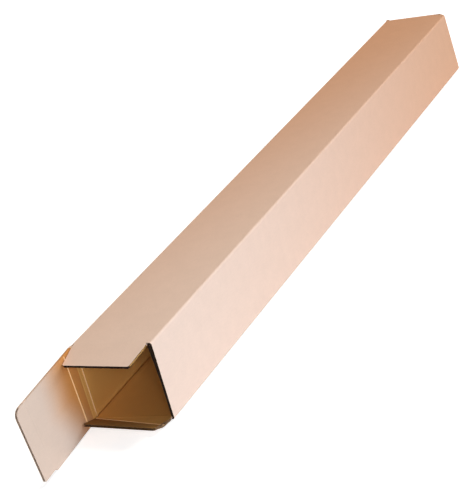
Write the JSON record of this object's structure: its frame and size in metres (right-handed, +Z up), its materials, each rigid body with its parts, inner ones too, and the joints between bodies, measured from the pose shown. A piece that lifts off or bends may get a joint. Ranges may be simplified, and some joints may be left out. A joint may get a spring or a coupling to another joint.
{
  "type": "square mailing tube",
  "caption": "Long square-section mailing tube of folded corrugated board, lying on a side, with tuck lids and dust flaps at the ends; the mouth end stands open.",
  "frame": {"origin": "under the middle of the tube's body, on the surface that its bottom wall lies on", "axes": "+X runs along the tube towards the open mouth, +Y points to the front wall, away from the wall that carries both lids, and +Z is up"},
  "size_m": [1.2415, 0.106, 0.097],
  "materials": {
    "kraft_board": "matt unprinted kraft paper over corrugated board"
  },
  "bodies": {
    "sleeve": {"sleeve": "kraft_board"},
    "mouth_lid": {"mouth_lid": "kraft_board"},
    "mouth_tongue": {"mouth_tongue": "kraft_board"},
    "mouth_top_flap": {"mouth_top_flap": "kraft_board"},
    "mouth_bottom_flap": {"mouth_bottom_flap": "kraft_board"},
    "end_lid": {"end_lid": "kraft_board"}
  },
  "joints": [
    {"name": "mouth_lid_crease", "type": "hinge", "parent": "sleeve", "child": "mouth_lid", "pos_m": [0.5493, -0.0515, 0.0485], "axis": [0, 0, 1], "range_deg": [-95, 0]},
    {"name": "mouth_tongue_crease", "type": "hinge", "parent": "mouth_lid", "child": "mouth_tongue", "pos_m": [0.657, -0.0434, 0], "axis": [0.125, 0.0094, 0.9921], "range_deg": [0, 90]},
    {"name": "mouth_top_flap_crease", "type": "hinge", "parent": "sleeve", "child": "mouth_top_flap", "pos_m": [0.5457, 0, 0.0955], "axis": [0, 1, 0], "range_deg": [-101, 79]},
    {"name": "mouth_bottom_flap_crease", "type": "hinge", "parent": "sleeve", "child": "mouth_bottom_flap", "pos_m": [0.5457, 0, 0.0015], "axis": [0, -1, 0], "range_deg": [-90, 90]},
    {"name": "end_lid_crease", "type": "hinge", "parent": "sleeve", "child": "end_lid", "pos_m": [-0.5493, -0.0515, 0.0485], "axis": [0, 0, 1], "range_deg": [0, 180]}
  ]
}
